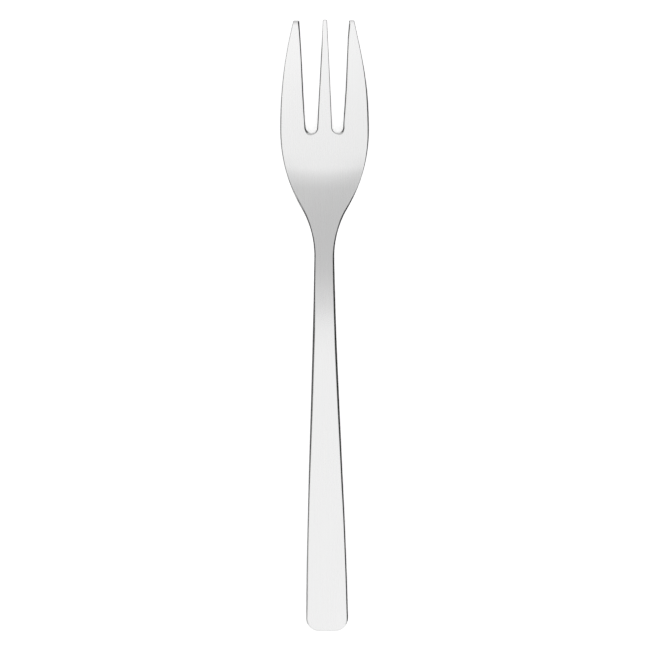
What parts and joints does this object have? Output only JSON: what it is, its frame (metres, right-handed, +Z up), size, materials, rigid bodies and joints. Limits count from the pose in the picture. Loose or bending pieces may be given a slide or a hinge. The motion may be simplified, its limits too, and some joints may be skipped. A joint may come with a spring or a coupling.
{
  "type": "pastry fork",
  "caption": "Slim stainless pastry fork with a flat tapered handle, a narrow neck bent down to a shallow bowl, and short upswept tines with round-ended slots between them.",
  "frame": {"origin": "centre of the footprint at table level, with the fork lying face up on its bowl and its handle end", "axes": "+Y from the handle's end towards the tips, +Z up from the table, X across the fork"},
  "size_m": [0.0224, 0.1548, 0.0099],
  "materials": {
    "steel": "satin stainless steel with polished edges and faint lengthwise brushing"
  },
  "bodies": {
    "root": {"pastry_fork": "steel"}
  },
  "joints": []
}
